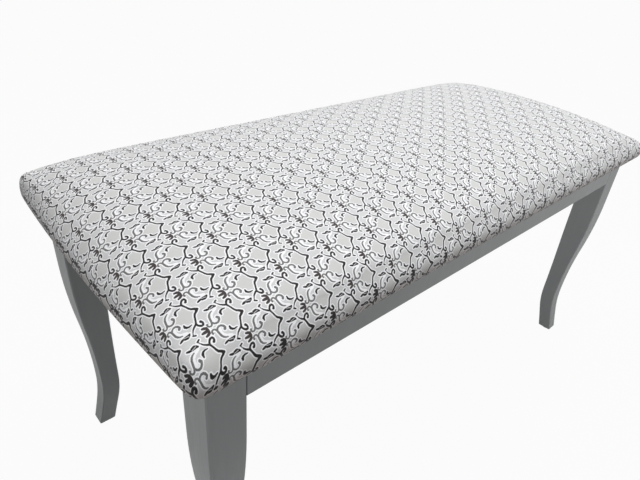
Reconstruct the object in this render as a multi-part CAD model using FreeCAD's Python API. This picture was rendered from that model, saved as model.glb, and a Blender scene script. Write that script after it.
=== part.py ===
import FreeCAD, Part
import math
import os

# Upholstered bench seat: a painted wooden frame on four curved legs, under a crowned pad.
# Millimetres. X runs along the bench, Y from the front to the back, and Z is up.
# The origin is on the floor under the middle of the bench.

V = FreeCAD.Vector
X_AXIS = V(1, 0, 0)
Y_AXIS = V(0, 1, 0)
Z_AXIS = V(0, 0, 1)
TINY = 1e-6

# Frame
FRAME_LENGTH = 940.0
FRAME_WIDTH = 414.0
RAIL_HEIGHT = 48.0
RAIL_THICKNESS = 22.0
RAIL_EDGE_EASE = 1.5

# Legs: how far the outer face stands in from the frame's corner, and how wide the leg is there
LEG_HEIGHT = 434.0
LEG_WIDTH = 45.0
KNEE_HEIGHT = 335.0
ANKLE_HEIGHT = 112.0
ANKLE_INSET = 14.2
ANKLE_WIDTH = 28.5
FOOT_INSET = 1.5
FOOT_WIDTH = 26.5
FOOT_FLARE = 0.17
LEG_EDGE_EASE = 1.5
SOLE_BEVEL = 2.0

# Floor glides under the feet
GLIDE_DIAMETER = 18.0
GLIDE_THICKNESS = 3.0
GLIDE_BEVEL = 0.8
GLIDE_PIN_DIAMETER = 3.0
GLIDE_PIN_LENGTH = 14.0

# Tenons that join the rails to the legs, and the cross rail to the long rails
TENON_LENGTH = 24.0
TENON_THICKNESS = 10.0
TENON_SHOULDER = 6.0
CROSS_TENON_LENGTH = 12.0
TENON_FIT = 0.1
END_GAP = 0.5

# Cross rail under the middle of the seat board
CROSS_RAIL_THICKNESS = 22.0
CROSS_RAIL_HEIGHT = 44.0

# Glued corner blocks behind the legs: seen from above, blunt triangles with a notch for the leg
BLOCK_REACH = 88.0
BLOCK_EAR = 12.0
BLOCK_HEIGHT = 36.0
BLOCK_TOP_DROP = 2.0
BLOCK_LEG_GAP = 0.3

# Screws that hold the seat board down on the frame
SEAT_SCREW_DIAMETER = 4.5
SEAT_SCREW_HEAD = 9.0
SEAT_SCREW_HEAD_HEIGHT = 3.0
SEAT_SCREW_IN_BLOCK = 18.0
SEAT_SCREW_IN_BOARD = 9.0
SEAT_SCREW_OFFSET = 34.0
CROSS_SCREW_OFFSET = 95.0
SCREW_FIT = 0.1
HEAD_FIT = 1.0

# Pad: its plan at the widest, the height of its side, and the crown above that
PAD_LENGTH = 980.0
PAD_WIDTH = 438.0
PAD_SIDE_HEIGHT = 36.0
PAD_CROWN = 40.0
PAD_END_CROWN = 3.0
PAD_DRAW_IN = 3.0
PAD_CORNER = 22.0
PAD_END_DROP = 9.0
PAD_END_RISE = 10.0
PAD_SHOULDER_EASE = 1.0
PAD_STATIONS = (0.0, 4.0, 11.0, 22.0, 45.0, 85.0, 160.0)

# The crown falls from the middle by the powers of the share of the way to the edge
CROWN_POWER_LONG = 12.0
CROWN_ROUND_LONG = 0.83
CROWN_POWER_WIDE = 2.0
CROWN_ROUND_WIDE = 0.47
CROWN_SHOULDER = 0.85

# Layers of the pad
BOARD_THICKNESS = 12.0
BOARD_CORNER = 18.0
COVER_THICKNESS = 1.2
COVER_HEM = 45.0
WADDING_THICKNESS = 4.0
LAYER_GAP = 0.3
DUST_COVER_THICKNESS = 0.6
DUST_COVER_LAP = 12.0
DUST_COVER_CORNER = 6.0

# Staples in the underside of the seat board
STAPLE_CROWN = 10.0
STAPLE_LEG = 7.0
STAPLE_WIRE = 0.6
STAPLE_WIRE_WIDTH = 1.0
HEM_STAPLE_ROW = 30.0
HEM_STAPLE_PITCH = 150.0
DUST_STAPLE_ROW = 56.0
DUST_STAPLE_PITCH = 150.0

# Heights and half sizes that follow from the sizes above
HALF_LENGTH = FRAME_LENGTH / 2
HALF_WIDTH = FRAME_WIDTH / 2
FRAME_TOP = GLIDE_THICKNESS + LEG_HEIGHT
RAIL_BOTTOM = FRAME_TOP - RAIL_HEIGHT
RAIL_MIDDLE = RAIL_THICKNESS / 2
CROSS_RAIL_BOTTOM = FRAME_TOP - CROSS_RAIL_HEIGHT
BLOCK_TOP = FRAME_TOP - BLOCK_TOP_DROP
BLOCK_BOTTOM = BLOCK_TOP - BLOCK_HEIGHT
SEAT_SCREW_SHOULDER = BLOCK_TOP - SEAT_SCREW_IN_BLOCK
STAPLE_BED = FRAME_TOP + DUST_COVER_THICKNESS
PAD_BASE = STAPLE_BED + STAPLE_WIRE
BOARD_BOTTOM = PAD_BASE + COVER_THICKNESS
BOARD_TOP = BOARD_BOTTOM + BOARD_THICKNESS
WADDING_INSET = COVER_THICKNESS + LAYER_GAP
CORE_INSET = WADDING_INSET + WADDING_THICKNESS
FOAM_INSET = CORE_INSET + LAYER_GAP
BOARD_HALF_LENGTH = PAD_LENGTH / 2 - PAD_DRAW_IN - FOAM_INSET
BOARD_HALF_WIDTH = PAD_WIDTH / 2 - PAD_DRAW_IN - FOAM_INSET
FOOT_MIDDLE = FOOT_INSET + FOOT_WIDTH / 2

CORNERS = {
    "front_left": (-1, -1),
    "front_right": (1, -1),
    "back_left": (-1, 1),
    "back_right": (1, 1),
}


# Shared shapes

def block(x0, x1, y0, y1, z0, z1):
    return Part.makeBox(x1 - x0, y1 - y0, z1 - z0, V(x0, y0, z0))


def rod(start, direction, length, diameter):
    return Part.makeCylinder(diameter / 2, length, start, direction)


def plate(half_x, half_y, corner, z0, z1):
    """A flat plate with rounded corners, centred on the bench."""
    solid = block(-half_x, half_x, -half_y, half_y, z0, z1)
    upright = [edge for edge in solid.Edges if edge.BoundBox.ZLength > (z1 - z0) / 2]
    return solid.makeFillet(corner, upright)


def turned(points, start):
    """An upright solid of revolution from (radius, height) points, set on start."""
    wire = Part.makePolygon([V(radius, 0, height) for radius, height in points + points[:1]])
    return Part.Face(wire).revolve(V(), Z_AXIS, 360).translated(start)


def from_corner(x, y, z):
    """A point measured inwards from the frame's front left corner."""
    return V(x - HALF_LENGTH, y - HALF_WIDTH, z)


def at_corner(shape, signs):
    """The front left piece, mirrored to another corner."""
    sign_x, sign_y = signs
    if sign_x > 0:
        shape = shape.mirror(V(), X_AXIS)
    if sign_y > 0:
        shape = shape.mirror(V(), Y_AXIS)
    return shape


def tenon(face, direction, length, bottom, fit):
    """A flat tenon that stands on a joint face; with a fit, the room for it in the other piece."""
    across = V(direction.y, direction.x, 0) * (TENON_THICKNESS / 2 + fit)
    near = V(face.x, face.y, bottom + TENON_SHOULDER - fit) - across
    far = V(face.x, face.y, FRAME_TOP - TENON_SHOULDER + fit) + across + direction * length
    xs, ys, zs = zip(near, far)
    return block(min(xs), max(xs), min(ys), max(ys), min(zs), max(zs))


# Places that two or more pieces share

def leg_joint_places():
    """The middle of each rail's joint face on the front left leg, and the way into the leg."""
    front = from_corner(LEG_WIDTH, RAIL_MIDDLE, RAIL_BOTTOM)
    end = from_corner(RAIL_MIDDLE, LEG_WIDTH, RAIL_BOTTOM)
    return [(front, -X_AXIS), (end, -Y_AXIS)]


def cross_joint_face():
    """The middle of the cross rail's joint face on the front rail."""
    return V(0, RAIL_THICKNESS - HALF_WIDTH, CROSS_RAIL_BOTTOM)


def seat_screw_places():
    """The shoulder of each seat screw: in the corner blocks, front left first, and in the cross rail."""
    inwards = RAIL_THICKNESS + SEAT_SCREW_OFFSET
    corner = from_corner(inwards, inwards, SEAT_SCREW_SHOULDER)
    places = [V(-sx * corner.x, -sy * corner.y, corner.z) for sx, sy in CORNERS.values()]
    places += [V(0, side * CROSS_SCREW_OFFSET, SEAT_SCREW_SHOULDER) for side in (-1, 1)]
    return places


def seat_screw_way(place):
    """The clearance hole for one seat screw, from under its head to the seat board."""
    shank = rod(place, Z_AXIS, BOARD_BOTTOM - place.z, SEAT_SCREW_DIAMETER + 2 * SCREW_FIT)
    below = V(place.x, place.y, RAIL_BOTTOM)
    head = rod(below, Z_AXIS, place.z - below.z, SEAT_SCREW_HEAD + 2 * HEAD_FIT)
    return shank.fuse(head)


# Legs

def unit(vector):
    return vector / vector.Length


def arc_along(start, tangent, end):
    """The arc from start to end that leaves along tangent, and its tangent at the end."""
    chord = end - start
    across = chord - tangent * chord.dot(tangent)
    if across.Length < TINY:
        return Part.makeLine(start, end), tangent
    normal = unit(across)
    radius = chord.dot(chord) / (2 * chord.dot(normal))
    centre = start + normal * radius
    middle = centre + unit((start + end) / 2 - centre) * radius
    end_tangent = unit(chord * (2 * chord.dot(tangent) / chord.dot(chord)) - tangent)
    return Part.Arc(start, middle, end).toShape(), end_tangent


def biarc(start, start_tangent, end, end_tangent):
    """Two tangent arcs that join start to end with the given tangents."""
    chord = end - start
    both = start_tangent + end_tangent
    spread = 2 * (1 - start_tangent.dot(end_tangent))
    if spread < TINY:
        reach = chord.dot(chord) / (4 * chord.dot(end_tangent))
    else:
        root = math.sqrt(chord.dot(both) ** 2 + spread * chord.dot(chord))
        reach = (root - chord.dot(both)) / spread
    joint = (start + end + (start_tangent - end_tangent) * reach) / 2
    first, joint_tangent = arc_along(start, start_tangent, joint)
    second, _ = arc_along(joint, joint_tangent, end)
    return [first, second]


def leg_prism(place, across):
    """The leg's side view in the plane that place gives, pushed across the leg."""
    up = place(0, 1)
    splay = unit(place(FOOT_FLARE, 1))
    foot = place(FOOT_INSET, GLIDE_THICKNESS)
    ankle = place(ANKLE_INSET, ANKLE_HEIGHT)
    knee = place(0, KNEE_HEIGHT)
    top = place(0, FRAME_TOP)
    foot_inside = foot + place(FOOT_WIDTH, 0)
    ankle_inside = ankle + place(ANKLE_WIDTH, 0)
    knee_inside = knee + place(LEG_WIDTH, 0)
    top_inside = top + place(LEG_WIDTH, 0)
    outer = biarc(foot, splay, ankle, up) + biarc(ankle, up, knee, up)
    inner = biarc(foot_inside, splay, ankle_inside, up) + biarc(ankle_inside, up, knee_inside, up)
    straight = [
        Part.makeLine(knee, top),
        Part.makeLine(top, top_inside),
        Part.makeLine(top_inside, knee_inside),
        Part.makeLine(foot_inside, foot),
    ]
    outline = Part.Wire(Part.__sortEdges__(outer + straight + inner))
    return Part.Face(outline).extrude(across)


def leg():
    """The front left leg: one curve sawn on two faces of a square blank, then its edges eased."""
    sawn_from_front = leg_prism(lambda inset, z: V(inset, 0, z), Y_AXIS * LEG_WIDTH)
    sawn_from_end = leg_prism(lambda inset, z: V(0, inset, z), X_AXIS * LEG_WIDTH)
    shape = sawn_from_front.common(sawn_from_end).Solids[0]
    long_edges = [edge for edge in shape.Edges if edge.BoundBox.ZLength > LEG_EDGE_EASE]
    shape = shape.makeChamfer(LEG_EDGE_EASE, long_edges)
    sole = [edge for edge in shape.Edges if edge.BoundBox.ZMax < GLIDE_THICKNESS + SOLE_BEVEL]
    shape = shape.makeChamfer(SOLE_BEVEL, sole)
    shape.translate(from_corner(0, 0, 0))
    rooms = []
    for face, direction in leg_joint_places():
        rooms.append(tenon(face, direction, TENON_LENGTH + END_GAP, RAIL_BOTTOM, TENON_FIT))
    sole_middle = from_corner(FOOT_MIDDLE, FOOT_MIDDLE, GLIDE_THICKNESS)
    pin_depth = GLIDE_PIN_LENGTH + END_GAP
    rooms.append(rod(sole_middle, Z_AXIS, pin_depth, GLIDE_PIN_DIAMETER + 2 * SCREW_FIT))
    return shape.cut(rooms)


def floor_glide():
    """A plastic glide moulded round the pin that holds it in the foot."""
    radius = GLIDE_DIAMETER / 2
    pin = GLIDE_PIN_DIAMETER / 2
    pin_end = GLIDE_THICKNESS + GLIDE_PIN_LENGTH
    points = [
        (0, 0),
        (radius - GLIDE_BEVEL, 0),
        (radius, GLIDE_BEVEL),
        (radius, GLIDE_THICKNESS),
        (pin, GLIDE_THICKNESS),
        (pin, pin_end),
        (0, pin_end),
    ]
    return turned(points, from_corner(FOOT_MIDDLE, FOOT_MIDDLE, 0))


# Rails and corner blocks

def eased_rail(x0, x1, y0, y1, length_axis):
    """A rail whose long edges are taken off."""
    rail = block(x0, x1, y0, y1, RAIL_BOTTOM, FRAME_TOP)
    long_edges = [edge for edge in rail.Edges if abs(edge.tangentAt(0).dot(length_axis)) > 0.5]
    return rail.makeChamfer(RAIL_EDGE_EASE, long_edges)


def with_tenons(rail, length_axis, other_end):
    """The rail with its tenon for the front left leg, and the same one at its other end."""
    for face, direction in leg_joint_places():
        if abs(direction.dot(length_axis)) > 0.5:
            tongue = tenon(face, direction, TENON_LENGTH, RAIL_BOTTOM, 0)
            rail = rail.fuse([tongue, at_corner(tongue, other_end)])
    return rail.removeSplitter()


def front_rail():
    end = HALF_LENGTH - LEG_WIDTH
    rail = eased_rail(-end, end, -HALF_WIDTH, RAIL_THICKNESS - HALF_WIDTH, X_AXIS)
    rail = with_tenons(rail, X_AXIS, (1, -1))
    mortise_depth = CROSS_TENON_LENGTH + END_GAP
    mortise = tenon(cross_joint_face(), -Y_AXIS, mortise_depth, CROSS_RAIL_BOTTOM, TENON_FIT)
    return rail.cut(mortise)


def left_rail():
    end = HALF_WIDTH - LEG_WIDTH
    rail = eased_rail(-HALF_LENGTH, RAIL_THICKNESS - HALF_LENGTH, -end, end, Y_AXIS)
    return with_tenons(rail, Y_AXIS, (-1, 1))


def cross_rail():
    half = CROSS_RAIL_THICKNESS / 2
    inside = HALF_WIDTH - RAIL_THICKNESS
    rail = block(-half, half, -inside, inside, CROSS_RAIL_BOTTOM, FRAME_TOP)
    tongue = tenon(cross_joint_face(), -Y_AXIS, CROSS_TENON_LENGTH, CROSS_RAIL_BOTTOM, 0)
    rail = rail.fuse([tongue, at_corner(tongue, (-1, 1))]).removeSplitter()
    return rail.cut([seat_screw_way(place) for place in seat_screw_places() if place.x == 0])


def corner_block():
    notch = LEG_WIDTH - RAIL_THICKNESS + BLOCK_LEG_GAP
    outline = [
        (notch, 0),
        (BLOCK_REACH, 0),
        (BLOCK_REACH, BLOCK_EAR),
        (BLOCK_EAR, BLOCK_REACH),
        (0, BLOCK_REACH),
        (0, notch),
        (notch, notch),
        (notch, 0),
    ]
    inwards = [from_corner(RAIL_THICKNESS + a, RAIL_THICKNESS + b, BLOCK_BOTTOM) for a, b in outline]
    shape = Part.Face(Part.makePolygon(inwards)).extrude(Z_AXIS * BLOCK_HEIGHT)
    return shape.cut(seat_screw_way(seat_screw_places()[0]))


def seat_screw(place):
    """A screw whose head bears on its shoulder in the wood, and whose shank ends in the seat board."""
    head = SEAT_SCREW_HEAD / 2
    shank = SEAT_SCREW_DIAMETER / 2
    length = BOARD_BOTTOM + SEAT_SCREW_IN_BOARD - place.z
    points = [
        (0, -SEAT_SCREW_HEAD_HEIGHT),
        (head, -SEAT_SCREW_HEAD_HEIGHT),
        (head, 0),
        (shank, 0),
        (shank, length),
        (0, length),
    ]
    return turned(points, place)


# Pad

def crown_share(way, power, roundness):
    """How much of the crown is left at a share of the way from the middle to the edge."""
    return (1 - way ** power) ** roundness


def pad_section(x, half, base, side, crown):
    """One upright cross section: drawn-in foot, bulging side, round shoulder and crowned top."""
    def point(way, height):
        return V(x, way, base + height)

    def on_crown(way):
        return side + crown * crown_share(way, CROWN_POWER_WIDE, CROWN_ROUND_WIDE)

    halfway = (1 + CROWN_SHOULDER) / 2
    edges = []
    ends = []
    for hand in (-1, 1):
        foot = point(hand * (half - PAD_DRAW_IN), 0)
        bulge = point(hand * half, side / 2)
        top_of_side = point(hand * (half - PAD_SHOULDER_EASE), side)
        turn = point(hand * half * halfway, on_crown(halfway))
        shoulder = point(hand * half * CROWN_SHOULDER, on_crown(CROWN_SHOULDER))
        edges.append(Part.Arc(foot, bulge, top_of_side).toShape())
        edges.append(Part.Arc(top_of_side, turn, shoulder).toShape())
        ends.append((foot, shoulder))
    (left_foot, left_shoulder), (right_foot, right_shoulder) = ends
    edges.append(Part.Arc(left_shoulder, point(0, side + crown), right_shoulder).toShape())
    edges.append(Part.makeLine(left_foot, right_foot))
    return Part.Wire(Part.__sortEdges__(edges))


def pad_solid(inset):
    """The pad's outer form, drawn in by inset all round: a loft through upright cross sections."""
    half_length = PAD_LENGTH / 2 - inset
    half_width = PAD_WIDTH / 2 - inset
    corner = PAD_CORNER - inset
    side = PAD_SIDE_HEIGHT - 2 * inset
    left = []
    for distance in PAD_STATIONS:
        turn = max(corner - distance, 0)
        narrowing = corner - math.sqrt(corner ** 2 - turn ** 2)
        drop = PAD_END_DROP * narrowing / corner
        rise = 0 if distance else PAD_END_RISE
        share = crown_share(1 - distance / half_length, CROWN_POWER_LONG, CROWN_ROUND_LONG)
        crown = PAD_END_CROWN + (PAD_CROWN - PAD_END_CROWN) * share
        base = PAD_BASE + inset + rise
        left.append((distance - half_length, half_width - narrowing, base, side - drop - rise, crown))
    right = [(-x, *section) for x, *section in reversed(left)]
    wires = [pad_section(*section) for section in left + right]
    return Part.makeLoft(wires, True, True)


def row_offsets(half_span, pitch):
    """An even number of places along a row, spread evenly about its middle."""
    pairs = max(1, round(half_span / pitch))
    step = half_span / pairs
    ahead = [step * (index + 0.5) for index in range(pairs)]
    return ahead + [-offset for offset in ahead]


def staple(x, y, z, along_x):
    """A staple with its crown at height z and its legs pointing up."""
    half = STAPLE_CROWN / 2
    thin = STAPLE_WIRE_WIDTH / 2
    crown = block(-half, half, -thin, thin, 0, STAPLE_WIRE)
    tip = STAPLE_WIRE + STAPLE_LEG
    left_leg = block(-half, STAPLE_WIRE - half, -thin, thin, 0, tip)
    right_leg = block(half - STAPLE_WIRE, half, -thin, thin, 0, tip)
    shape = crown.fuse([left_leg, right_leg]).removeSplitter()
    if not along_x:
        shape.rotate(V(), Z_AXIS, 90)
    shape.translate(V(x, y, z))
    return shape


def staple_ring(row, pitch, z):
    """Staples all round the board, a row's distance in from its edge."""
    reach_x = BOARD_HALF_LENGTH - row
    reach_y = BOARD_HALF_WIDTH - row
    ring = []
    for side in (-1, 1):
        for x in row_offsets(reach_x - STAPLE_CROWN, pitch):
            ring.append(staple(x, side * reach_y, z, True))
        for y in row_offsets(reach_y - STAPLE_CROWN, pitch):
            ring.append(staple(side * reach_x, y, z, False))
    return ring


def seat_board(staples):
    board = plate(BOARD_HALF_LENGTH, BOARD_HALF_WIDTH, BOARD_CORNER, BOARD_BOTTOM, BOARD_TOP)
    bores = []
    for place in seat_screw_places():
        entry = V(place.x, place.y, BOARD_BOTTOM)
        depth = SEAT_SCREW_IN_BOARD + END_GAP
        bores.append(rod(entry, Z_AXIS, depth, SEAT_SCREW_DIAMETER + 2 * SCREW_FIT))
    return board.cut(bores + staples)


def foam_pad():
    foam = pad_solid(FOAM_INSET)
    box = foam.BoundBox
    below = block(box.XMin - 1, box.XMax + 1, box.YMin - 1, box.YMax + 1, box.ZMin - 1, BOARD_TOP)
    return foam.cut(below)


def wadding():
    """A layer over the foam and down the edge of the board."""
    room_x = BOARD_HALF_LENGTH + LAYER_GAP
    room_y = BOARD_HALF_WIDTH + LAYER_GAP
    board_room = plate(room_x, room_y, BOARD_CORNER, PAD_BASE, BOARD_TOP)
    return pad_solid(WADDING_INSET).cut([pad_solid(CORE_INSET), board_room])


def seat_cover(staples):
    """The woven cover: drawn over the pad and turned in under the board as a hem."""
    hem_x = BOARD_HALF_LENGTH - COVER_HEM
    hem_y = BOARD_HALF_WIDTH - COVER_HEM
    window = plate(hem_x, hem_y, BOARD_CORNER, PAD_BASE - COVER_THICKNESS, BOARD_BOTTOM)
    return pad_solid(0).cut([pad_solid(COVER_THICKNESS), window] + staples)


def dust_cover(staples):
    """The thin cloth under the board, trapped between the pad and the rails."""
    reach = DUST_COVER_LAP - RAIL_THICKNESS
    half_x = HALF_LENGTH + reach
    half_y = HALF_WIDTH + reach
    cloth = plate(half_x, half_y, DUST_COVER_CORNER, FRAME_TOP, STAPLE_BED)
    slit = SEAT_SCREW_DIAMETER / 2 + SCREW_FIT
    slits = []
    for place in seat_screw_places():
        x, y = place.x, place.y
        slits.append(block(x - slit, x + slit, y - slit, y + slit, FRAME_TOP, STAPLE_BED))
    return cloth.cut(slits + staples)


# The whole bench

def build():
    pieces = {}
    glides = []
    for corner, signs in CORNERS.items():
        pieces["leg_" + corner] = at_corner(leg(), signs)
        pieces["corner_block_" + corner] = at_corner(corner_block(), signs)
        glides.append(at_corner(floor_glide(), signs))
    pieces["floor_glides"] = Part.makeCompound(glides)
    pieces["rail_front"] = front_rail()
    pieces["rail_back"] = at_corner(pieces["rail_front"], (-1, 1))
    pieces["rail_left"] = left_rail()
    pieces["rail_right"] = at_corner(pieces["rail_left"], (1, -1))
    pieces["cross_rail"] = cross_rail()
    pieces["seat_screws"] = Part.makeCompound([seat_screw(place) for place in seat_screw_places()])
    hem_staples = staple_ring(HEM_STAPLE_ROW, HEM_STAPLE_PITCH, STAPLE_BED)
    dust_staples = staple_ring(DUST_STAPLE_ROW, DUST_STAPLE_PITCH, FRAME_TOP - STAPLE_WIRE)
    pieces["seat_board"] = seat_board(hem_staples + dust_staples)
    pieces["foam_pad"] = foam_pad()
    pieces["wadding"] = wadding()
    pieces["seat_cover"] = seat_cover(hem_staples)
    pieces["hem_staples"] = Part.makeCompound(hem_staples)
    pieces["dust_cover"] = dust_cover(dust_staples)
    pieces["dust_cover_staples"] = Part.makeCompound(dust_staples)
    return pieces


os.makedirs("parts", exist_ok=True)
for name, shape in build().items():
    if not shape.isValid():
        print("not valid:", name)
    shape.exportStep("parts/" + name + ".step")
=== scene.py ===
import math
from functools import reduce

import bmesh
import bpy
import numpy as np
from mathutils import Matrix, Vector


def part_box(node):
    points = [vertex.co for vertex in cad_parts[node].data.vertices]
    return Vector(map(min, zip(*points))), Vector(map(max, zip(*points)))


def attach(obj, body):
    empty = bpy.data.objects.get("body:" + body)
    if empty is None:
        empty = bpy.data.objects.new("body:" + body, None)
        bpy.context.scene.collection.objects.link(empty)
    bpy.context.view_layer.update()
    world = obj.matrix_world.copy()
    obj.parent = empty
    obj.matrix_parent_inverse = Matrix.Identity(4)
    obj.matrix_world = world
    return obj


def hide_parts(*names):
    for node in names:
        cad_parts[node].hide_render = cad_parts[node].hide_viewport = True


bl_info = {
    "name": "Upholstered bench seat",
    "version": (1, 0, 0),
    "blender": (4, 5, 0),
    "location": "3D View > Sidebar > Bench",
    "description": "Dresses a packed bench frame with paint, wood, a woven pad and a dust cover",
    "category": "Object",
}

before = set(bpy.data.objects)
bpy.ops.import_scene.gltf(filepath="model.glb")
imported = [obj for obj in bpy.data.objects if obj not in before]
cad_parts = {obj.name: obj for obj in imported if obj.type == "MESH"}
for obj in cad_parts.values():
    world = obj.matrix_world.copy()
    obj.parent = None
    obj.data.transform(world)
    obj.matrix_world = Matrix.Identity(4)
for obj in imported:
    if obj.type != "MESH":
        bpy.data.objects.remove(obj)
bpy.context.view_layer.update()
MM = 0.001
PLY = 1.7 * MM
BODY = "root"
PAINTED = (
    "leg_front_left",
    "leg_front_right",
    "leg_back_left",
    "leg_back_right",
    "rail_front",
    "rail_back",
    "rail_left",
    "rail_right",
)
BLOCKS = (
    "corner_block_front_left",
    "corner_block_front_right",
    "corner_block_back_left",
    "corner_block_back_right",
)
PAD_NODES = ("seat_cover", "wadding", "foam_pad")

# Levels and half sizes of the frame, the board and the pad, in metres
FRAME_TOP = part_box("rail_front")[1][2]
PAD_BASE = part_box("seat_cover")[0][2]
HALF_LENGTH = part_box("seat_cover")[1][0]
HALF_WIDTH = 0.219
BOARD_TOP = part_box("seat_board")[1][2]
FRAME_SIDE = (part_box("leg_front_right")[1][0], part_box("rail_back")[1][1])
TINY = 1e-6

# The pad's crown above the top of the frame: height at the rim, rise, and a power and a fullness each way
CROWN = {"rim": 0.0376, "rise": 0.0388, "long": (12.25, 0.83), "wide": (2.0, 0.47)}

# How the sides lean in: powers of the height, of the place along and of the place across
LEAN = {"height": 1.5, "along": 8, "across": 6}

# The room for the board inside the pad: clearance, width of the hem, how far the opening in the hem reaches
# below the pad and into the board's room, and the radius of the corners
HOLLOW = {"gap": 0.0003, "hem": 0.045, "below": 0.01, "above": 0.002, "corner": 0.018}

# The cover was pulled askew. Each pull is a power of the length along the cloth, a power of the length
# across, both as parts of CLOTH_REACH, and the millimetres that it pulls along and across
CLOTH_REACH = (0.5, 0.262)
CLOTH_PULLS = {
    "slipped": (0, 0, -5.0, -4.5),
    "turned": (1, 0, -11.0, -14.5),
    "widened": (0, 1, 1.5, 5.0),
    "bowed_ends": (2, 0, -13.5, -14.5),
    "bowed_sides": (0, 2, 17.0, 10.0),
    "sheared": (1, 1, -3.0, -1.0),
    "fanned": (1, 2, 19.5, 2.5),
    "pinched": (2, 1, 1.0, -6.0),
    "tight_ends": (3, 0, -10.0, -1.0),
    "tight_sides": (0, 3, -5.5, 2.5),
}

# At a corner less cloth hangs down, from "ease_in" off both edges, and it hangs askew from "turn_in" off
# each edge
CORNER = {"ease": 0.35, "ease_in": 0.030, "turn_in": (0.016, 0.045)}

# How far the pad's side stands out, as a part of the most, at heights above the floor
SIDE = (
    (0.4360, 0.15),
    (0.4385, 0.25),
    (0.4410, 0.55),
    (0.4440, 0.88),
    (0.4490, 1.0),
    (0.4560, 1.0),
    (0.4610, 0.93),
    (0.4670, 0.70),
    (0.4730, 0.34),
    (0.4790, 0.0),
)

# How far inside the frame's long sides the pad's sides start to stand out
SIDE_START = 0.007

# The length of cloth down a side, in metres, at depths under the crown
CLOTH_DEPTHS = (0.0, 0.0012, 0.0131, 0.0360)
CLOTH_LENGTHS = (0.0, 0.0021, 0.0207, 0.0500)

# Where the padding is thinner, by the front right corner
THIN_CORNER = {"drop": 0.005, "along": (0.38, 0.49), "across": (-0.2, 0.15)}

# The woven repeat, in millimetres: where a tip of the net lies on the pad, and the pitch along and across
REPEAT = {"tip": (-453.6, -134.3), "pitch": (62.71, 47.94), "turn": -0.01444}

# Heights above the pad's lower edge between which its dark figure grows bolder, and painted shade makes its
# dark figure blacker and its cloth darker
LOW_SIDE = (0.038, 0.018)
LOW_EDGE_SHADE = (0.028, 0.006)

# The dust cover's sag, how much of it ripples, and the ripples' waves along and across
SAG = {"depth": 0.004, "ripple": 0.12, "waves": (71, 53)}

# Each lamp's kind, its place, what it is aimed at, and its width
LAMPS = {
    "key": ("AREA", (0.3, 0.3, 2.6), (0.0, 0.0, 0.4), 1.8),
    "left": ("SPOT", (-6.0, -2.8, 3.2), (0.42, 0.0, 0.61), 0.9),
    "fill": ("AREA", (1.2, -1.4, 0.7), (0.0, 0.0, 0.4), 1.0),
}
BEAM = {"angle": math.radians(14.0), "soft_edge": 0.7}

# How much of the floor's look is plain white. The rest shows the shadow
FLOOR_WHITE = 0.96

# Where the photograph was taken from, and its lens
CAMERA_PLACE = Vector((-0.6201, -0.4861, 0.7764))
CAMERA_TARGET = Vector((-0.1691, -0.0277, 0.3837))
CAMERA_ROLL = -0.08456
FOCAL_PIXELS = 508.46
PICTURE_WIDTH = 640
SENSOR_WIDTH = 36.0
NEAREST = 0.02


# Nodes and the sums between them


class Wire:
    """An output socket that takes part in sums."""

    def __init__(self, nodes, socket):
        self.nodes = nodes
        self.socket = socket

    def __add__(self, other):
        return self.nodes.math("ADD", self, other)

    def __radd__(self, other):
        return self.nodes.math("ADD", other, self)

    def __sub__(self, other):
        return self.nodes.math("SUBTRACT", self, other)

    def __rsub__(self, other):
        return self.nodes.math("SUBTRACT", other, self)

    def __mul__(self, other):
        return self.nodes.math("MULTIPLY", self, other)

    def __rmul__(self, other):
        return self.nodes.math("MULTIPLY", other, self)


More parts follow.
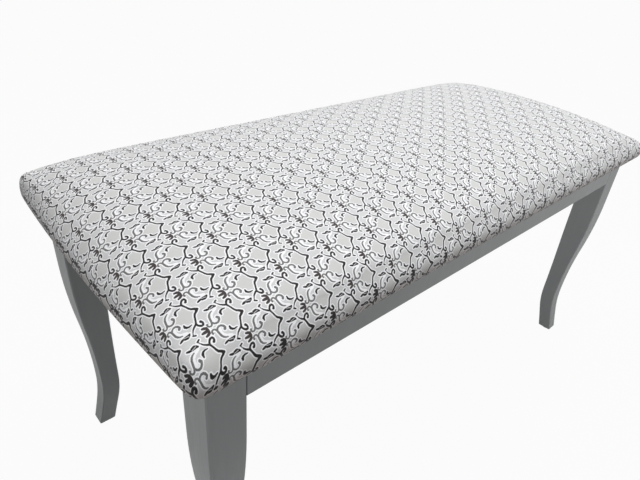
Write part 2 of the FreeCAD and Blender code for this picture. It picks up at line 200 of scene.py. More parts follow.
class Nodes:
    """The nodes of one material or of the world."""

    def __init__(self, tree):
        self.tree = tree

    def put(self, socket, value):
        """Links a socket, or sets it where the value is plain."""
        if isinstance(value, Wire):
            self.tree.links.new(value.socket, socket)
        elif isinstance(value, (tuple, list)) and socket.type == "RGBA" and len(value) == 3:
            socket.default_value = (*value, 1.0)
        else:
            socket.default_value = value

    def node(self, kind, settings=None, inputs=None, out=0):
        made = self.tree.nodes.new(kind)
        for name, value in (settings or {}).items():
            setattr(made, name, value)
        for name, value in (inputs or {}).items():
            self.put(made.inputs[name], value)
        return Wire(self, made.outputs[out])

    def split(self, value, *axes):
        """The chosen parts of a vector."""
        return [self.node("ShaderNodeSeparateXYZ", inputs={0: value}, out=axis) for axis in axes]

    def math(self, operation, *values, clamp=False):
        settings = {"operation": operation, "use_clamp": clamp}
        return self.node("ShaderNodeMath", settings, dict(enumerate(values)))

    def vector(self, operation, *values, out=0):
        return self.node("ShaderNodeVectorMath", {"operation": operation}, dict(enumerate(values)), out)

    def coordinates(self, stretch=(1, 1, 1)):
        place = self.node("ShaderNodeTexCoord", out="Object")
        return self.node("ShaderNodeMapping", inputs={"Vector": place, "Scale": stretch})

    def noise(self, place, scale, detail=2.0, roughness=0.5, distortion=0.0):
        inputs = {
            "Vector": place,
            "Scale": scale,
            "Detail": detail,
            "Roughness": roughness,
            "Distortion": distortion,
        }
        return self.node("ShaderNodeTexNoise", inputs=inputs)

    def blend(self, first, second, factor):
        """A colour between first and second."""
        return self.node("ShaderNodeMix", {"data_type": "RGBA"}, {0: factor, 6: first, 7: second}, out=2)

    def span(self, value, low, high, to_low=0.0, to_high=1.0):
        """A smooth step from to_low to to_high as value goes from low to high."""
        inputs = {"Value": value, "From Min": low, "From Max": high, "To Min": to_low, "To Max": to_high}
        return self.node("ShaderNodeMapRange", {"interpolation_type": "SMOOTHSTEP"}, inputs)

    def chain(self, operation, values):
        """Joins values by one operation, each as soon as it is made."""
        return reduce(lambda one, other: self.math(operation, one, other), values)

    def bump(self, height, distance, strength=1.0):
        inputs = {"Height": height, "Distance": distance, "Strength": strength}
        return self.node("ShaderNodeBump", inputs=inputs)

    def seen_directly(self):
        """One where a ray comes from the camera, a mirror or glass, and nought elsewhere."""
        kinds = ("Is Camera Ray", "Is Glossy Ray", "Is Transmission Ray")
        return self.chain("MAXIMUM", (self.node("ShaderNodeLightPath", out=kind) for kind in kinds))


class Finish(Nodes):
    """One material, built round its Principled shader."""

    def __init__(self, name):
        self.material = bpy.data.materials.new(name)
        self.material.use_nodes = True
        super().__init__(self.material.node_tree)
        self.shader = self.tree.nodes["Principled BSDF"]
        self.output = self.tree.nodes["Material Output"]

    def done(self, varying, fixed=None):
        """Fills the shader's sockets with what varies over the surface and what is the same all over."""
        for name, value in {**varying, **(fixed or {})}.items():
            self.put(self.shader.inputs[name], value)
        return self.material


def grey(level, tint=(1.0, 1.0, 1.0)):
    """A linear colour from a level in 0 to 255 as a screen shows it."""
    part = level / 255
    linear = part / 12.92 if part <= 0.04045 else ((part + 0.055) / 1.055) ** 2.4
    return tuple(linear * t for t in tint)


def shade(paint, part):
    """A colour made darker or paler."""
    return tuple(value * part for value in paint)


# Finishes


def paint_finish(settings):
    """Satin paint, pale blue-grey, brushed on: soft clouds, faint upright streaks and orange peel."""
    f = Finish("blue_grey_satin_paint")
    place = f.coordinates()
    clouds = f.noise(place, scale=5.0)
    upright = f.noise(f.coordinates((420, 420, 14)), scale=1.0, detail=3.0, roughness=0.6)
    orange_peel = f.noise(place, scale=520.0)
    tone = f.blend(shade(settings.paint, 0.94), shade(settings.paint, 1.05), f.span(clouds, 0.25, 0.75))
    tone = f.blend(tone, shade(settings.paint, 0.9), f.span(upright, 0.45, 0.85, 0.0, 0.5))
    height = upright * 0.6 + orange_peel * 0.4
    varying = {
        "Base Color": tone,
        "Roughness": f.span(upright, 0.2, 0.8, 0.4, 0.54),
        "Normal": f.bump(height, 0.0002, 0.3),
    }
    return f.done(varying, {"Specular IOR Level": 0.4})


def wood_finish(name, stretch, pale, dark, ply=False):
    """Unpainted softwood, or plywood with its plies at the edge."""
    f = Finish(name)
    place = f.coordinates(stretch)
    wander = f.noise(place, scale=2.2, detail=3.0, distortion=0.8)
    rings = f.math("FRACT", wander * 9.0)
    grain = f.span(f.math("ABSOLUTE", rings - 0.5), 0.05, 0.5)
    fibre = f.noise(f.coordinates(tuple(9 * s for s in stretch)), scale=6.0, detail=3.0, roughness=0.6)
    mask = grain * 0.55 + fibre * 0.45
    if ply:
        (height,) = f.split(f.coordinates(), 2)
        plies = f.math("PINGPONG", height * (1 / PLY), 1.0)
        (facing_up,) = f.split(f.node("ShaderNodeNewGeometry", out="True Normal"), 2)
        edge = 1.0 - f.math("ABSOLUTE", facing_up, clamp=True)
        mask = mask * (1.0 - edge) + f.span(plies, 0.35, 0.65) * edge
    tone = f.blend(pale, dark, mask)
    varying = {
        "Base Color": tone,
        "Roughness": f.span(fibre, 0.3, 0.8, 0.62, 0.82),
        "Normal": f.bump(mask, 0.0004, 0.4),
    }
    return f.done(varying)


def plastic_finish():
    """Dark moulded plastic, scuffed underneath."""
    f = Finish("dark_moulded_plastic")
    place = f.coordinates()
    grain = f.noise(place, scale=900.0)
    scuffs = f.span(f.noise(place, scale=160.0, detail=4.0, roughness=0.7), 0.5, 0.75)
    varying = {
        "Base Color": f.blend(grey(46), grey(88), scuffs * 0.5),
        "Roughness": 0.42 + scuffs * 0.25,
        "Normal": f.bump(grain, 0.0001, 0.5),
    }
    return f.done(varying)


def steel_finish():
    """Zinc-plated steel with a faint blue-yellow mottle."""
    f = Finish("zinc_plated_steel")
    place = f.coordinates()
    mottle = f.noise(place, scale=350.0, detail=3.0)
    varying = {
        "Base Color": f.blend(grey(186, (1.0, 0.98, 0.9)), grey(205, (0.95, 0.98, 1.04)), mottle),
        "Roughness": f.span(mottle, 0.3, 0.7, 0.28, 0.45),
        "Normal": f.bump(f.noise(place, scale=1500.0), 0.00005, 0.5),
    }
    return f.done(varying, {"Metallic": 1.0})


def dust_cloth_finish():
    """Thin black bonded cloth with pressed dots and loose fibres."""
    f = Finish("black_bonded_cloth")
    place = f.coordinates()
    fibres = f.noise(f.coordinates((1, 1.6, 1)), scale=700.0, detail=4.0, roughness=0.7, distortion=1.5)
    dots_per_metre = 1 / (3 * MM)
    along, across = (f.math("PINGPONG", part * dots_per_metre, 1.0) for part in f.split(place, 0, 1))
    dots = along * across
    pressed = f.span(dots, 0.45, 0.8)
    tone = f.blend(grey(34), grey(62), fibres)
    varying = {
        "Base Color": f.blend(tone, grey(24), pressed * 0.6),
        "Roughness": 0.85 - pressed * 0.15,
        "Normal": f.bump(fibres - pressed, 0.0003, 0.6),
    }
    return f.done(varying, {"Sheen Weight": 0.15})


# The woven motif, in millimetres from a tip of the net, along and across the bench.
# Every stroke is a run of (along, across, half thickness). The motif mirrors about the tip's line.
DARK_STROKES = {
    "stem": (
        (0.0, 0.0, 1.25),
        (-1.6, 1.7, 0.95),
        (-3.9, 3.2, 0.8),
        (-5.3, 5.4, 0.68),
        (-6.1, 7.6, 0.6),
        (-7.3, 10.5, 0.6),
        (-8.2, 12.5, 0.75),
        (-9.7, 13.4, 0.7),
    ),
    "branch": (
        (24.0, 13.4, 0.6),
        (23.2, 11.5, 0.75),
        (21.7, 10.7, 0.7),
        (20.1, 9.6, 0.6),
        (18.5, 8.3, 0.45),
        (17.5, 6.8, 0.3),
    ),
    "bud": ((15.8, 3.5, 0.6), (17.7, 2.4, 0.55)),
    "curl": (
        (23.2, 11.5, 0.75),
        (23.8, 9.6, 0.68),
        (24.9, 8.1, 0.75),
        (26.3, 7.1, 0.85),
        (27.8, 7.2, 0.8),
        (28.5, 8.4, 0.68),
        (28.4, 10.0, 0.75),
        (27.5, 11.2, 1.0),
    ),
    "curl_end": ((-2.9, 14.0, 0.75), (-3.8, 12.7, 1.0)),
    "rosette": ((22.9, 0.0, 0.8), (25.0, 0.0, 1.2), (28.0, 0.0, 1.4)),
    "rosette_lobe": ((28.5, 0.7, 0.9), (27.9, 2.7, 1.1), (26.4, 3.6, 1.1), (24.7, 4.1, 0.8)),
    "leaf": (
        (4.3, 5.4, 0.5),
        (6.2, 6.1, 0.95),
        (7.7, 6.6, 0.6),
        (9.3, 6.0, 1.45),
        (11.2, 5.8, 1.7),
        (13.0, 6.4, 1.15),
        (14.2, 7.1, 0.6),
    ),
    "comma": (
        (-17.0, 6.7, 0.5),
        (-17.0, 8.8, 0.95),
        (-15.9, 10.2, 0.8),
        (-14.0, 10.9, 0.6),
        (-11.4, 10.6, 0.3),
    ),
}
SOFT_STROKES = {
    "scroll": (
        (-24.4, 13.8, 0.5),
        (-26.1, 12.2, 0.65),
        (-27.2, 10.2, 0.75),
        (-27.7, 7.6, 0.72),
        (-28.1, 4.6, 0.65),
        (-29.1, 2.6, 0.6),
        (-30.4, 1.9, 0.55),
        (-31.8, 2.4, 0.55),
        (-32.8, 3.5, 0.55),
    ),
    "scroll_hook": ((32.4, 1.9, 0.55), (31.0, 2.3, 0.55), (30.0, 3.4, 0.55), (30.3, 4.9, 0.8)),
    "scroll_arm": (
        (-28.0, 4.6, 0.6),
        (-26.9, 2.8, 0.6),
        (-25.0, 1.8, 0.65),
        (-23.0, 2.0, 0.7),
        (-21.3, 3.5, 0.78),
        (-20.6, 5.4, 0.85),
        (-21.6, 6.7, 1.0),
    ),
    "scroll_tail": ((4.2, 13.7, 0.7), (5.3, 11.7, 0.65), (6.9, 10.4, 0.5), (8.8, 9.7, 0.3)),
    "bud_stalk": ((17.5, 6.8, 0.3), (16.5, 5.3, 0.25), (16.2, 4.0, 0.3)),
}
PALE_STROKES = {
    "inner_band": ((-22.6, 13.2, 1.25), (-25.0, 10.6, 1.1), (-25.8, 7.7, 1.0), (-25.0, 5.0, 1.0)),
    "outer_band": ((6.3, 13.4, 1.1), (8.9, 11.2, 1.1), (13.0, 9.4, 0.9)),
}
VEIN = ((8.4, 6.9, 0.12), (12.6, 5.9, 0.2))
ROSETTE_MIDDLE = (26.0, 0.0, 0.0)
ROSETTE_EDGE = (7.5, 6.0)
OPEN_GROUND = ((-18.0, 0.0, 6.0), (-9.0, 0.0, 8.0))

# The cloth's threads, in millimetres: their pitch, how ragged they leave a stroke's edge, where the white
# line round a stroke ends and starts (pale thread with a painted sheen highlight), and how much bolder the
# dark strokes are low on the side
THREAD = 1.1
RAGGED = 0.35
WHITE_LINE = (1.7, 1.0)
BOLDER = 0.5


def stroke(f, point, start, end):
    """How far a point is outside one straight, tapering piece of a stroke."""
    (ax, ay, first), (bx, by, last) = start, end
    run = Vector((bx - ax, by - ay, 0.0))
    from_start = f.vector("SUBTRACT", point, (ax, ay, 0.0))
    along = f.vector("DOT_PRODUCT", from_start, tuple(run / run.length_squared), out=1)
    along = f.node("ShaderNodeClamp", inputs={0: along})
    foot = f.node("ShaderNodeVectorMath", {"operation": "SCALE"}, {0: tuple(run), "Scale": along})
    away = f.vector("DISTANCE", from_start, foot, out=1)
    if first == last:
        return away - first
    return f.math("MULTIPLY_ADD", along, first - last, away - first)


def drawn(f, point, strokes):
    """How far a point is outside the nearest of several strokes."""
    pieces = [pair for run in strokes for pair in zip(run, run[1:])]
    return f.chain("MINIMUM", (stroke(f, point, *pair) for pair in pieces))


def folded(f, place):
    """A place on the cloth, in millimetres, brought back to the one motif that all the others repeat."""
    pitch_along, pitch_across = REPEAT["pitch"]
    along, across = f.split(place, 0, 1)
    row = f.math("ROUND", across * (2 / pitch_across))
    shifted = along - row * (pitch_along / 2)
    u = f.math("WRAP", shifted, pitch_along / 2, -pitch_along / 2)
    v = f.math("PINGPONG", across, pitch_across / 4)
    return f.node("ShaderNodeCombineXYZ", inputs={0: u, 1: v})


def cloth_finish(settings):
    """Silvery cream figured cloth: dark scrolls, softer grey scrolls and a white line round each, the white
    line being pale thread with a painted sheen highlight. Painted shade blackens the dark scrolls and
    darkens the cloth low on the pad's side.
    """
    f = Finish("figured_scroll_cloth")
    uv = f.node("ShaderNodeUVMap", {"uv_map": "cloth"})
    cloth = f.vector("MULTIPLY", uv, (1 / MM, 1 / MM, 1 / MM))
    slub = f.noise(f.vector("MULTIPLY", cloth, (0.35, 2.2, 1.0)), scale=0.55)
    stitches = f.noise(cloth, scale=1.35, detail=1.0)
    ragged = (stitches - 0.5) * RAGGED
    point = folded(f, cloth)
    dark = drawn(f, point, DARK_STROKES.values())
    soft = drawn(f, point, SOFT_STROKES.values())
    pale = drawn(f, point, PALE_STROKES.values())
    vein = drawn(f, point, (VEIN,))
    middle = drawn(f, point, (OPEN_GROUND,))

    (height,) = f.split(f.coordinates(), 2)
    low_side = f.span(height, *(PAD_BASE + level for level in LOW_SIDE))
    edge, bold = settings.stroke_softness / MM, settings.boldness / MM
    dark = dark - low_side * BOLDER
    dark_mask = f.span(dark + ragged, bold + edge, bold - edge) * f.span(vein, 0.0, 0.3, 0.35, 1.0)
    soft_mask = f.span(soft + ragged, bold + edge, bold - edge)
    near = f.math("MINIMUM", dark, soft)
    # The white line round the strokes: pale thread, with a painted sheen highlight.
    thread_and_sheen_halo = f.span(near, *WHITE_LINE)
    white_mask = f.math("MAXIMUM", thread_and_sheen_halo, f.span(pale, 0.5, -0.1))

    along, across = f.split(cloth, 0, 1)
    warp = f.math("PINGPONG", along, THREAD / 2) * (2 / THREAD)
    weft = f.math("PINGPONG", across, THREAD / 2) * (2 / THREAD)
    weave = f.math("MAXIMUM", warp * 0.9, weft)

    ground = f.blend(tuple(settings.ground), tuple(settings.ground_inside), f.span(middle, 1.0, -2.0))
    ground = f.blend(ground, shade(settings.ground, 0.93), f.span(slub, 0.35, 0.7))
    tone = f.blend(ground, tuple(settings.white), white_mask)
    soft_tone = f.blend(grey(88), grey(128), f.span(stitches, 0.35, 0.65))
    tone = f.blend(tone, soft_tone, soft_mask)
    dark_tone = f.blend(tuple(settings.dark), grey(66, (1.1, 0.95, 0.92)), f.span(stitches, 0.5, 0.75))
    rosette = f.span(f.vector("DISTANCE", point, ROSETTE_MIDDLE, out=1), *ROSETTE_EDGE)
    dark_tone = f.blend(dark_tone, grey(60, (1.12, 0.94, 0.9)), rosette)
    # Painted shade: low on the pad's side the dark scrolls turn near black, as they look where the side is
    # in shade.
    dark_tone = f.blend(dark_tone, grey(8), low_side)
    tone = f.blend(tone, dark_tone, dark_mask)
    # Painted shade: towards the pad's lower edge the cloth is multiplied darker and pinkish-brown, where
    # the side turns under into shade.
    hem = f.span(height, *(PAD_BASE + level for level in LOW_EDGE_SHADE))
    painted_low_shade = {0: hem, 6: tone, 7: tuple(settings.hem)}
    tone = f.node("ShaderNodeMix", {"data_type": "RGBA", "blend_type": "MULTIPLY"}, painted_low_shade, out=2)

    raised = f.math("MAXIMUM", dark_mask, soft_mask) * 0.5 + weave * 0.35 + slub * 0.2
    varying = {
        "Base Color": tone,
        "Roughness": 0.62 + dark_mask * 0.12 - white_mask * 0.1,
        "Normal": f.bump(raised, 0.00035, 0.55),
    }
    return f.done(varying, {"Sheen Weight": 0.12, "Sheen Roughness": 0.5, "Specular IOR Level": 0.15})


# Meshes


def new_piece(name, shape, material):
    """Turns a bmesh into a piece of the bench that rides on its only body."""
    mesh = bpy.data.meshes.new(name)
    shape.to_mesh(mesh)
    shape.free()
    piece = bpy.data.objects.new(name, mesh)
    bpy.context.scene.collection.objects.link(piece)
    mesh.materials.append(material)
    mesh.shade_smooth()
    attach(piece, BODY)
    return piece


def bake_down(piece):
    """Applies all the modifiers of a piece, so that only its mesh is left."""
    graph = bpy.context.evaluated_depsgraph_get()
    done = bpy.data.meshes.new_from_object(piece.evaluated_get(graph), depsgraph=graph)
    old, name = piece.data, piece.data.name
    piece.modifiers.clear()
    piece.data = done
    bpy.data.meshes.remove(old)
    done.name = name


def paint_nodes(names, material):
    """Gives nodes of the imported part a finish."""
    for name in names:
        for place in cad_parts[name].material_slots:
            place.material = material


# The pad


def fade(value, low, high):
    """Nought below low, one above high and a smooth step between, for arrays."""
    part = np.clip((value - low) / (high - low), 0, 1)
    return part * part * (3 - 2 * part)


def crown(x, y, extra=0.0):
    """The height of the pad's top above the floor at arrays of x and y."""
    long_power, long_full = CROWN["long"]
    wide_power, wide_full = CROWN["wide"]
    along = np.clip(1 - (np.abs(x) / HALF_LENGTH) ** long_power, 0, 1) ** long_full
    across = np.clip(1 - (np.abs(y) / HALF_WIDTH) ** wide_power, 0, 1) ** wide_full
    thin_corner = THIN_CORNER["drop"] * fade(x, *THIN_CORNER["along"]) * fade(-y, *THIN_CORNER["across"])
    return FRAME_TOP + CROWN["rim"] + (CROWN["rise"] + extra) * along * across - thin_corner


def points_of(mesh):
    place = np.empty(len(mesh.vertices) * 3)
    mesh.vertices.foreach_get("co", place)
    return place.reshape(-1, 3)


def move_points(mesh, place):
    mesh.vertices.foreach_set("co", place.ravel())
    mesh.update()


def cube_to_pad(mesh, settings):
    """Moves a finely divided cube's points to the pad's form, a little low, with sides that lean in."""
    p, q, r = points_of(mesh).T
    corner = settings.corner
    x, y = HALF_LENGTH * np.sin(p * np.pi / 2), HALF_WIDTH * np.sin(q * np.pi / 2)
    over_x, over_y = np.abs(x) - (HALF_LENGTH - corner), np.abs(y) - (HALF_WIDTH - corner)
    rounded = (over_x > 0) & (over_y > 0)
    reach = np.maximum(np.hypot(over_x, over_y), TINY)
    scale = np.where(rounded, np.maximum(over_x, over_y) / reach, 1.0)
    x = np.where(rounded, np.sign(x) * (HALF_LENGTH - corner + over_x * scale), x)
    y = np.where(rounded, np.sign(y) * (HALF_WIDTH - corner + over_y * scale), y)
    z = PAD_BASE + (r + 1) / 2 * (crown(x, y, -settings.swell) + settings.shoulder - PAD_BASE)
    risen = np.clip((z - BOARD_TOP) / (FRAME_TOP + CROWN["rim"] - BOARD_TOP), 0, 1)
    lean = settings.draw_in * risen ** LEAN["height"]
    x -= np.sign(x) * lean * (np.abs(x) / HALF_LENGTH) ** LEAN["along"]
    y -= np.sign(y) * lean * (np.abs(y) / HALF_WIDTH) ** LEAN["across"]
    move_points(mesh, np.stack([x, y, z], axis=1))


def stand_out(mesh, settings):
    """Lets the sides slope outwards below the shoulder and curl under again at the frame."""
    x, y, z = points_of(mesh).T
    part = np.interp(z, *zip(*SIDE))
    at_end = fade(np.abs(x), FRAME_SIDE[0], HALF_LENGTH)
    at_side = fade(np.abs(y), FRAME_SIDE[1] - SIDE_START, HALF_WIDTH)
    bow = 1 - (y / HALF_WIDTH) ** 2
    end_bulge = settings.corner_bulge + (settings.end_bulge - settings.corner_bulge) * bow
    x += np.sign(x) * end_bulge * part * at_end
    y += np.sign(y) * settings.side_bulge * part * at_side
    move_points(mesh, np.stack([x, y, z], axis=1))


def hollow_for_board(piece):
    """Cuts the room for the board, and the opening that the stapled hem leaves under it."""
    low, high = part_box("seat_board")
    gap, hem = HOLLOW["gap"], HOLLOW["hem"]
    lowest, highest = PAD_BASE - HOLLOW["below"], low[2] + HOLLOW["above"]
    rooms = {
        "board_room": (high[0] + gap, high[1] + gap, low[2] - gap, high[2] + gap),
        "hem_opening": (high[0] - hem, high[1] - hem, lowest, highest),
    }
    for name, (half_x, half_y, bottom, top) in rooms.items():
        shape = bmesh.new()
        size = (2 * half_x, 2 * half_y, top - bottom)
        place = Matrix.Translation((0, 0, (top + bottom) / 2)) @ Matrix.Diagonal((*size, 1))
        bmesh.ops.create_cube(shape, size=1.0, matrix=place)
        upright = [e for e in shape.edges if abs(e.verts[0].co.z - e.verts[1].co.z) > TINY]
        bmesh.ops.bevel(
            shape,
            geom=upright,
            offset=HOLLOW["corner"],
            affect="EDGES",
            segments=6,
            profile=0.5,
            material=-1,
        )
        mesh = bpy.data.meshes.new(name)
        shape.to_mesh(mesh)
        shape.free()
        cutter = bpy.data.objects.new(name, mesh)
        bpy.context.scene.collection.objects.link(cutter)
        cut = piece.modifiers.new(name, "BOOLEAN")
        cut.operation, cut.solver, cut.object = "DIFFERENCE", "EXACT", cutter
        bake_down(piece)
        bpy.data.objects.remove(cutter)
        bpy.data.meshes.remove(mesh)


def swell(piece, settings):
    """Blows the pad up as cloth. It is held round the board, and no point goes further than its reach."""
    start = points_of(piece.data)
    facing = np.empty(start.size)
    piece.data.vertex_normals.foreach_get("vector", facing)
    facing = facing.reshape(-1, 3)
    hem = piece.vertex_groups.new(name="held")
    held = np.flatnonzero(start[:, 2] < BOARD_TOP)
    hem.add(held.tolist(), 1.0, "REPLACE")
    cloth = piece.modifiers.new("Swell", "CLOTH")
    cloth.settings.vertex_group_mass = hem.name
    cloth.settings.use_pressure = True
    cloth.settings.uniform_pressure_force = settings.pressure
    cloth.settings.effector_weights.gravity = 0.0
    cloth.settings.quality = 4
    cloth.collision_settings.use_collision = False
    cloth.point_cache.frame_start = 1
    cloth.point_cache.frame_end = settings.frames
    for number in range(1, settings.frames + 1):
        bpy.context.scene.frame_set(number)
    bake_down(piece)
    bpy.context.scene.frame_set(1)
    move = points_of(piece.data) - start
    outwards = np.clip((move * facing).sum(axis=1), 0, settings.cap)
    outwards = spread_evenly(piece.data, outwards, held, settings.smoothing)
    move_points(piece.data, start + facing * outwards[:, None])


def spread_evenly(mesh, amounts, held, rounds):
    """Averages each point's amount with its neighbours', many times, and keeps the held points still."""
    ends = np.empty(len(mesh.edges) * 2, dtype=np.int32)
    mesh.edges.foreach_get("vertices", ends)
    first, second = ends.reshape(-1, 2).T
    count = len(amounts)
    neighbours = np.bincount(first, minlength=count) + np.bincount(second, minlength=count)
    for _ in range(rounds):
        total = np.bincount(first, amounts[second], count) + np.bincount(second, amounts[first], count)
        amounts = 0.5 * amounts + 0.5 * total / neighbours
        amounts[held] = 0.0
    return amounts


def cloth_lengths(x, y):
    """Where each point lies on the cloth, in metres from the middle, measured over the crown."""
    steps = 40
    angle_x = np.arcsin(np.clip(x / HALF_LENGTH, -1, 1))
    angle_y = np.arcsin(np.clip(y / HALF_WIDTH, -1, 1))
    inner_x, inner_y = HALF_LENGTH * np.sin(angle_x), HALF_WIDTH * np.sin(angle_y)
    along, across = np.zeros_like(x), np.zeros_like(x)
    last_x, last_y = np.zeros_like(x), np.zeros_like(x)
    last_zx, last_zy = crown(last_x, inner_y), crown(inner_x, last_y)
    for step in range(1, steps + 1):
        now_x = HALF_LENGTH * np.sin(angle_x * step / steps)
        now_y = HALF_WIDTH * np.sin(angle_y * step / steps)
        zx, zy = crown(now_x, inner_y), crown(inner_x, now_y)
        along += np.sign(x) * np.hypot(now_x - last_x, zx - last_zx)
        across += np.sign(y) * np.hypot(now_y - last_y, zy - last_zy)
        last_x, last_y, last_zx, last_zy = now_x, now_y, zx, zy
    return along, across


def lay_cloth(mesh):
    """Gives the pad the UV map that the woven motif follows."""
    x, y, z = points_of(mesh).T
    along, across = cloth_lengths(x, y)
    drop = np.interp(crown(x, y) - z, CLOTH_DEPTHS, CLOTH_LENGTHS)
    near_x = np.clip(np.abs(x) - (HALF_LENGTH - CORNER["ease_in"]), 0, None)
    near_y = np.clip(np.abs(y) - (HALF_WIDTH - CORNER["ease_in"]), 0, None)
    drop *= 1 - CORNER["ease"] * 2 * near_x * near_y / np.maximum(near_x**2 + near_y**2, TINY**2)
    reach_x, reach_y = CORNER["turn_in"]
    out_x = np.sign(x) * np.clip(np.abs(x) - (HALF_LENGTH - reach_x), 0, None)
    out_y = np.sign(y) * np.clip(np.abs(y) - (HALF_WIDTH - reach_y), 0, None) ** 3 / reach_y**2
    size = np.maximum(np.hypot(out_x, out_y), TINY)
    along += drop * out_x / size
    across += drop * out_y / size
    part_x = np.clip(along / CLOTH_REACH[0], -1, 1)
    part_y = np.clip(across / CLOTH_REACH[1], -1, 1)
    for power_x, power_y, pull_along, pull_across in CLOTH_PULLS.values():
        pull = part_x**power_x * part_y**power_y * MM
        along, across = along + pull_along * pull, across + pull_across * pull
    turn = REPEAT["turn"]
    tip_x, tip_y = (value * MM for value in REPEAT["tip"])
    u = along * math.cos(turn) + across * math.sin(turn) - tip_x
    v = -along * math.sin(turn) + across * math.cos(turn) - tip_y
    layer = mesh.uv_layers.new(name="cloth")
    corners = np.empty(len(mesh.loops), dtype=np.int32)
    mesh.loops.foreach_get("vertex_index", corners)
    layer.uv.foreach_set("vector", np.stack([u[corners], v[corners]], axis=1).ravel())


# Settings


def colour(name, description, value):
    return bpy.props.FloatVectorProperty(
        name=name, description=description, default=value, subtype="COLOR", size=3, min=0.0, max=1.0
    )


def length(name, description, value):
    return bpy.props.FloatProperty(name=name, description=description, default=value, unit="LENGTH")


def strength(name, description, value):
    return bpy.props.FloatProperty(name=name, description=description, default=value)


def whole_number(name, description, value):
    return bpy.props.IntProperty(name=name, description=description, default=value)


class BenchPadSettings(bpy.types.PropertyGroup):
    """The pad's form and how it is blown up"""

    corner: length("Corner", "Radius of the pad's corners seen from above", 0.012)
    swell: length("Swell", "How much lower the crown is before it is blown up", 0.0037)
    shoulder: length("Shoulder", "How much higher the rim starts, for what the mesh rounds off", 0.0012)
    cap: length("Reach", "The furthest that a point of the pad may move", 0.003)
    draw_in: length("Draw in", "How far the sides lean in at the shoulder", 0.0015)
    end_bulge: length("End bulge", "How far the middle of each end stands out", 0.0095)
    corner_bulge: length("Corner bulge", "How far each end stands out at the corners", 0.0025)
    side_bulge: length("Side bulge", "How far each long side stands out", 0.0112)
    voxel: length("Voxel", "Grid of the remeshed pad", 0.006)
    pressure: strength("Pressure", "Air pressure in the pad", 4.0)
    frames: whole_number("Frames", "Steps of the simulation", 20)
    smoothing: whole_number("Smoothing", "Rounds that even out the swelling", 120)


class BenchClothSettings(bpy.types.PropertyGroup):
    """Colours and strokes of the figured cloth"""

    ground: colour("Ground", "Silvery cream between the motifs", grey(212, (1.0, 1.0, 1.01)))
    ground_inside: colour("Ground inside", "Warmer cream inside each motif", grey(207, (1.0, 1.0, 0.96)))
    # The white line is pale thread with a painted sheen highlight.
    white: colour("White", "The pale line round each stroke", grey(248, (0.99, 0.99, 1.01)))
    dark: colour("Dark", "The dark scrolls", grey(24, (1.08, 0.97, 0.95)))
    # Painted shade: the colour that the cloth near the pad's lower edge is multiplied by, to darken it
    # where the side turns under.
    hem: colour("Hem", "What the handled cloth by the frame is darkened with", (0.55, 0.49, 0.46))
    boldness: length("Boldness", "What each stroke is thicker than drawn, on each side", 0.00027)
    stroke_softness: length("Stroke softness", "Half the width of a stroke's soft edge", 0.00025)


class BenchPaintSettings(bpy.types.PropertyGroup):
    """Colour of the frame"""

    paint: colour("Paint", "Pale blue-grey of the frame", grey(147, (0.96, 1.0, 1.01)))


class BenchStageSettings(bpy.types.PropertyGroup):
    """Size of the floor and strength of the light"""

    floor: length("Floor", "Half the side of the floor", 30.0)
    key: strength("Key lamp", "Power of the lamp overhead", 50.0)
    left: strength("Left lamp", "Power of the beam from the front left", 780.0)
    fill: strength("Fill lamp", "Power of the lamp at the front right", 6.0)
    sky: strength("Sky", "Light from all round", 0.17)


# Steps that dress the bench


class BENCH_OT_frame(bpy.types.Operator):
    """Paints the legs and rails"""

    bl_idname = "bench.frame"
    bl_label = "Painted frame"

    def execute(self, context):
        paint_nodes(PAINTED, paint_finish(context.scene.bench_paint))
        return {"FINISHED"}


class BENCH_OT_timber(bpy.types.Operator):
    """Gives the hidden wood its grain"""

    bl_idname = "bench.timber"
    bl_label = "Bare wood"

    def execute(self, context):
        pale, dark = grey(208, (1.0, 0.86, 0.62)), grey(172, (1.0, 0.78, 0.5))
        paint_nodes(("cross_rail",), wood_finish("pine_across", (9, 0.8, 9), pale, dark))
        paint_nodes(BLOCKS, wood_finish("pine_along", (1.2, 9, 9), pale, dark))
        pale, dark = grey(216, (1.0, 0.9, 0.7)), grey(178, (1.0, 0.82, 0.58))
        paint_nodes(("seat_board",), wood_finish("birch_plywood", (1.0, 7, 1), pale, dark, ply=True))
        return {"FINISHED"}


class BENCH_OT_hardware(bpy.types.Operator):
    """Finishes the glides, screws and staples"""

    bl_idname = "bench.hardware"
    bl_label = "Glides and fasteners"

    def execute(self, context):
        paint_nodes(("floor_glides",), plastic_finish())
        paint_nodes(("seat_screws", "hem_staples", "dust_cover_staples"), steel_finish())
        return {"FINISHED"}


class BENCH_OT_pad(bpy.types.Operator):
    """Makes the crowned pad in its figured cloth"""

    bl_idname = "bench.pad"
    bl_label = "Pad"

    def execute(self, context):
        settings = context.scene.bench_pad
        shape = bmesh.new()
        bmesh.ops.create_cube(shape, size=2.0)
        bmesh.ops.subdivide_edges(shape, edges=shape.edges[:], cuts=47, use_grid_fill=True)
        piece = new_piece("seat_pad", shape, cloth_finish(context.scene.bench_cloth))
        cube_to_pad(piece.data, settings)
        remesh = piece.modifiers.new("Even mesh", "REMESH")
        remesh.mode = "VOXEL"
        remesh.voxel_size = settings.voxel
        bake_down(piece)
        swell(piece, settings)
        finer = piece.modifiers.new("Finer", "SUBSURF")
        finer.levels = finer.render_levels = 1
        bake_down(piece)
        lay_cloth(piece.data)
        stand_out(piece.data, settings)
        hollow_for_board(piece)
        piece.data.shade_smooth()
        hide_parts(*PAD_NODES)
        return {"FINISHED"}


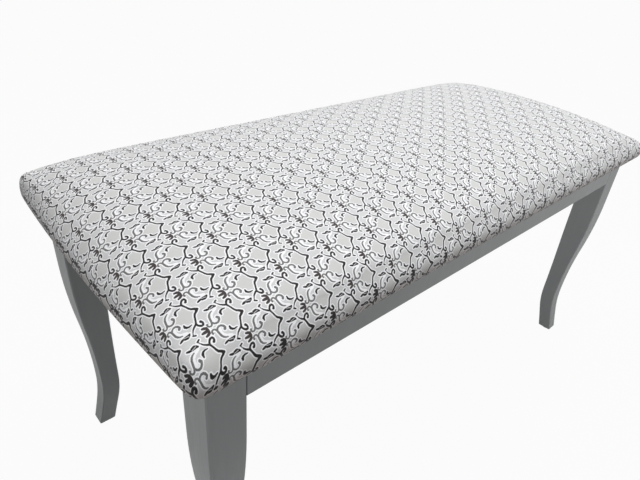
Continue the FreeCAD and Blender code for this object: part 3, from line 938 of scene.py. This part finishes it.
class BENCH_OT_dust_cover(bpy.types.Operator):
    """Stretches the dust cover under the pad"""

    bl_idname = "bench.dust_cover"
    bl_label = "Dust cover"

    def execute(self, context):
        low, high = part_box("dust_cover")
        width, depth = high[0] - low[0], high[1] - low[1]
        thickness = high[2] - low[2]
        shape = bmesh.new()
        bmesh.ops.create_grid(shape, x_segments=46, y_segments=20, size=0.5)
        bmesh.ops.scale(shape, verts=shape.verts, vec=(width, depth, 1))
        opening = frame_opening()
        for point in shape.verts:
            point.co.z = low[2] + thickness / 2 - sag(point.co.x, point.co.y, *opening)
        piece = new_piece("underside_cloth", shape, dust_cloth_finish())
        wall = piece.modifiers.new("Thickness", "SOLIDIFY")
        wall.thickness = thickness
        wall.offset = 0.0
        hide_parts("dust_cover")
        return {"FINISHED"}


def frame_opening():
    """Half the clear length and width inside the rails."""
    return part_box("rail_right")[0][0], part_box("rail_back")[0][1]


def sag(x, y, half_length, half_width):
    """How far the dust cover hangs down at a place: in a shallow bay each side of the cross rail."""
    if abs(x) >= half_length or abs(y) >= half_width:
        return 0.0
    bay = abs(math.sin(math.pi * x / half_length))
    across = 1 - (y / half_width) ** 2
    wave_x, wave_y = SAG["waves"]
    ripple = 1 + SAG["ripple"] * math.sin(x * wave_x) * math.sin(y * wave_y)
    return SAG["depth"] * across * bay * ripple


class BENCH_OT_stage(bpy.types.Operator):
    """Sets up the floor, the light and the camera"""

    bl_idname = "bench.stage"
    bl_label = "Stage"

    def execute(self, context):
        settings = context.scene.bench_stage
        shape = bmesh.new()
        bmesh.ops.create_grid(shape, x_segments=1, y_segments=1, size=settings.floor)
        mesh = bpy.data.meshes.new("floor")
        shape.to_mesh(mesh)
        shape.free()
        floor = bpy.data.objects.new("floor", mesh)
        context.scene.collection.objects.link(floor)
        mesh.materials.append(floor_finish())
        light_the_room(context.scene, settings)
        place_camera(context.scene)
        context.scene.view_settings.view_transform = "Standard"
        return {"FINISHED"}


def floor_finish():
    """A pale floor that shows white and keeps a light shadow."""
    f = Finish("pale_floor")
    plain = Wire(f, f.shader.outputs["BSDF"])
    white = f.node("ShaderNodeEmission")
    mixed = f.node("ShaderNodeMixShader", inputs={0: f.seen_directly() * FLOOR_WHITE, 1: plain, 2: white})
    f.put(f.output.inputs["Surface"], mixed)
    return f.done({}, {"Base Color": grey(128), "Roughness": 0.9})


def white_room(level):
    """A world that gives soft light from all round, and shows white behind the bench."""
    world = bpy.data.worlds.new("room")
    world.use_nodes = True
    room = Nodes(world.node_tree)
    backdrop = room.tree.nodes["Background"]
    backdrop.inputs["Color"].default_value = (0.98, 0.99, 1.0, 1.0)
    levels = {"Value": room.seen_directly(), "To Min": level, "To Max": 1.0}
    room.put(backdrop.inputs["Strength"], room.node("ShaderNodeMapRange", inputs=levels))
    return world


def light_the_room(scene, settings):
    """A white room, a large lamp overhead, a beam from the front left that fades towards the floor, and a
    weak lamp at the front right."""
    scene.world = white_room(settings.sky)
    for name, (kind, place, target, width) in LAMPS.items():
        light = bpy.data.lights.new(f"{name}_lamp", kind)
        light.energy = getattr(settings, name)
        if kind == "AREA":
            light.shape = "SQUARE"
            light.size = width
        else:
            light.shadow_soft_size = width / 2
            light.spot_size = BEAM["angle"]
            light.spot_blend = BEAM["soft_edge"]
        lamp = bpy.data.objects.new(light.name, light)
        lamp.location = place
        towards = Vector(target) - Vector(place)
        lamp.rotation_euler = towards.to_track_quat("-Z", "Y").to_euler()
        scene.collection.objects.link(lamp)


def place_camera(scene):
    """Puts the camera where the photograph was taken from."""
    lens = bpy.data.cameras.new("camera")
    lens.sensor_fit = "HORIZONTAL"
    lens.sensor_width = SENSOR_WIDTH
    lens.lens = FOCAL_PIXELS / PICTURE_WIDTH * SENSOR_WIDTH
    lens.clip_start = NEAREST
    camera = bpy.data.objects.new("camera", lens)
    ahead = (CAMERA_TARGET - CAMERA_PLACE).normalized()
    right = ahead.cross(Vector((0, 0, 1))).normalized()
    down = ahead.cross(right)
    across = right * math.cos(CAMERA_ROLL) + down * math.sin(CAMERA_ROLL)
    up = right * math.sin(CAMERA_ROLL) - down * math.cos(CAMERA_ROLL)
    turned = Matrix((across, up, -ahead)).transposed().to_4x4()
    camera.matrix_world = Matrix.Translation(CAMERA_PLACE) @ turned
    scene.collection.objects.link(camera)
    scene.camera = camera


# Panel and registration

STEPS = (
    BENCH_OT_frame,
    BENCH_OT_timber,
    BENCH_OT_hardware,
    BENCH_OT_pad,
    BENCH_OT_dust_cover,
    BENCH_OT_stage,
)
SETTINGS = {
    "bench_pad": BenchPadSettings,
    "bench_cloth": BenchClothSettings,
    "bench_paint": BenchPaintSettings,
    "bench_stage": BenchStageSettings,
}


class BENCH_PT_panel(bpy.types.Panel):
    """Lists the steps that dress the bench"""

    bl_idname = "BENCH_PT_panel"
    bl_label = "Bench"
    bl_space_type = "VIEW_3D"
    bl_region_type = "UI"
    bl_category = "Bench"

    def draw(self, context):
        for step in STEPS:
            self.layout.operator(step.bl_idname)
        for name, group in SETTINGS.items():
            box = self.layout.box()
            for field in group.__annotations__:
                box.prop(getattr(context.scene, name), field)


def register():
    for group in SETTINGS.values():
        bpy.utils.register_class(group)
    for name, group in SETTINGS.items():
        setattr(bpy.types.Scene, name, bpy.props.PointerProperty(type=group))
    for step in (*STEPS, BENCH_PT_panel):
        bpy.utils.register_class(step)


def unregister():
    for step in (BENCH_PT_panel, *reversed(STEPS)):
        bpy.utils.unregister_class(step)
    for name in SETTINGS:
        delattr(bpy.types.Scene, name)
    for group in SETTINGS.values():
        bpy.utils.unregister_class(group)


def main():
    register()
    bpy.ops.bench.frame()
    bpy.ops.bench.timber()
    bpy.ops.bench.hardware()
    bpy.ops.bench.pad()
    bpy.ops.bench.dust_cover()
    bpy.ops.bench.stage()


if __name__ == "__main__":
    main()
